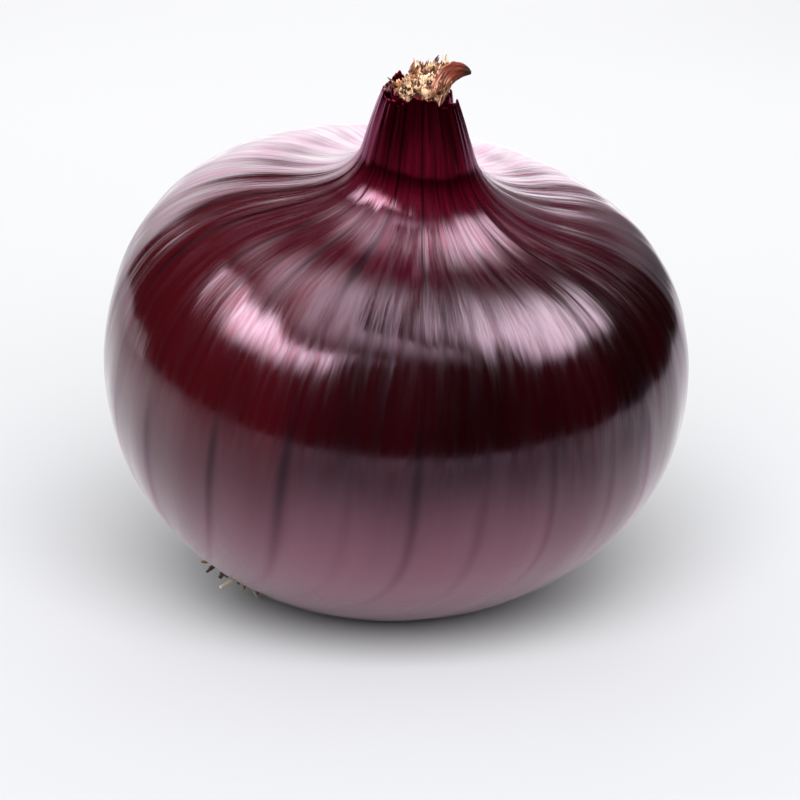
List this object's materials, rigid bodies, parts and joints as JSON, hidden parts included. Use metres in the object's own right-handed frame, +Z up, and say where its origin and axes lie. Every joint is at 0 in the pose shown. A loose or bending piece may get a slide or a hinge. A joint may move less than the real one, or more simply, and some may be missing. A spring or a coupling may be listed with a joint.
{
  "type": "red onion",
  "caption": "Whole red onion lying on a small flat spot, with its dry neck, torn leaf ends and trimmed dried roots.",
  "frame": {"origin": "middle of the small flat spot that the onion rests on, at the lowest level of the bulb", "axes": "+Z up from the surface the onion rests on; -Y towards the side that the neck leans to; +X to the right when looking along +Y"},
  "size_m": [0.08, 0.0795, 0.0762],
  "materials": {
    "red_skin": "glossy, finely ribbed dry outer skin, dark wine red with darker veins",
    "pale_dry_leaf": "dull, torn and brittle, cream with brown specks",
    "brown_dry_leaf": "half dull, red brown, darker at its point",
    "dried_root": "dull, corky and fibrous, brown and grey with a cream edge"
  },
  "bodies": {
    "root": {"bulb": "red_skin", "dry_leaf_ends": "pale_dry_leaf", "curled_leaf_end": "brown_dry_leaf", "dried_roots": "dried_root"}
  },
  "joints": []
}
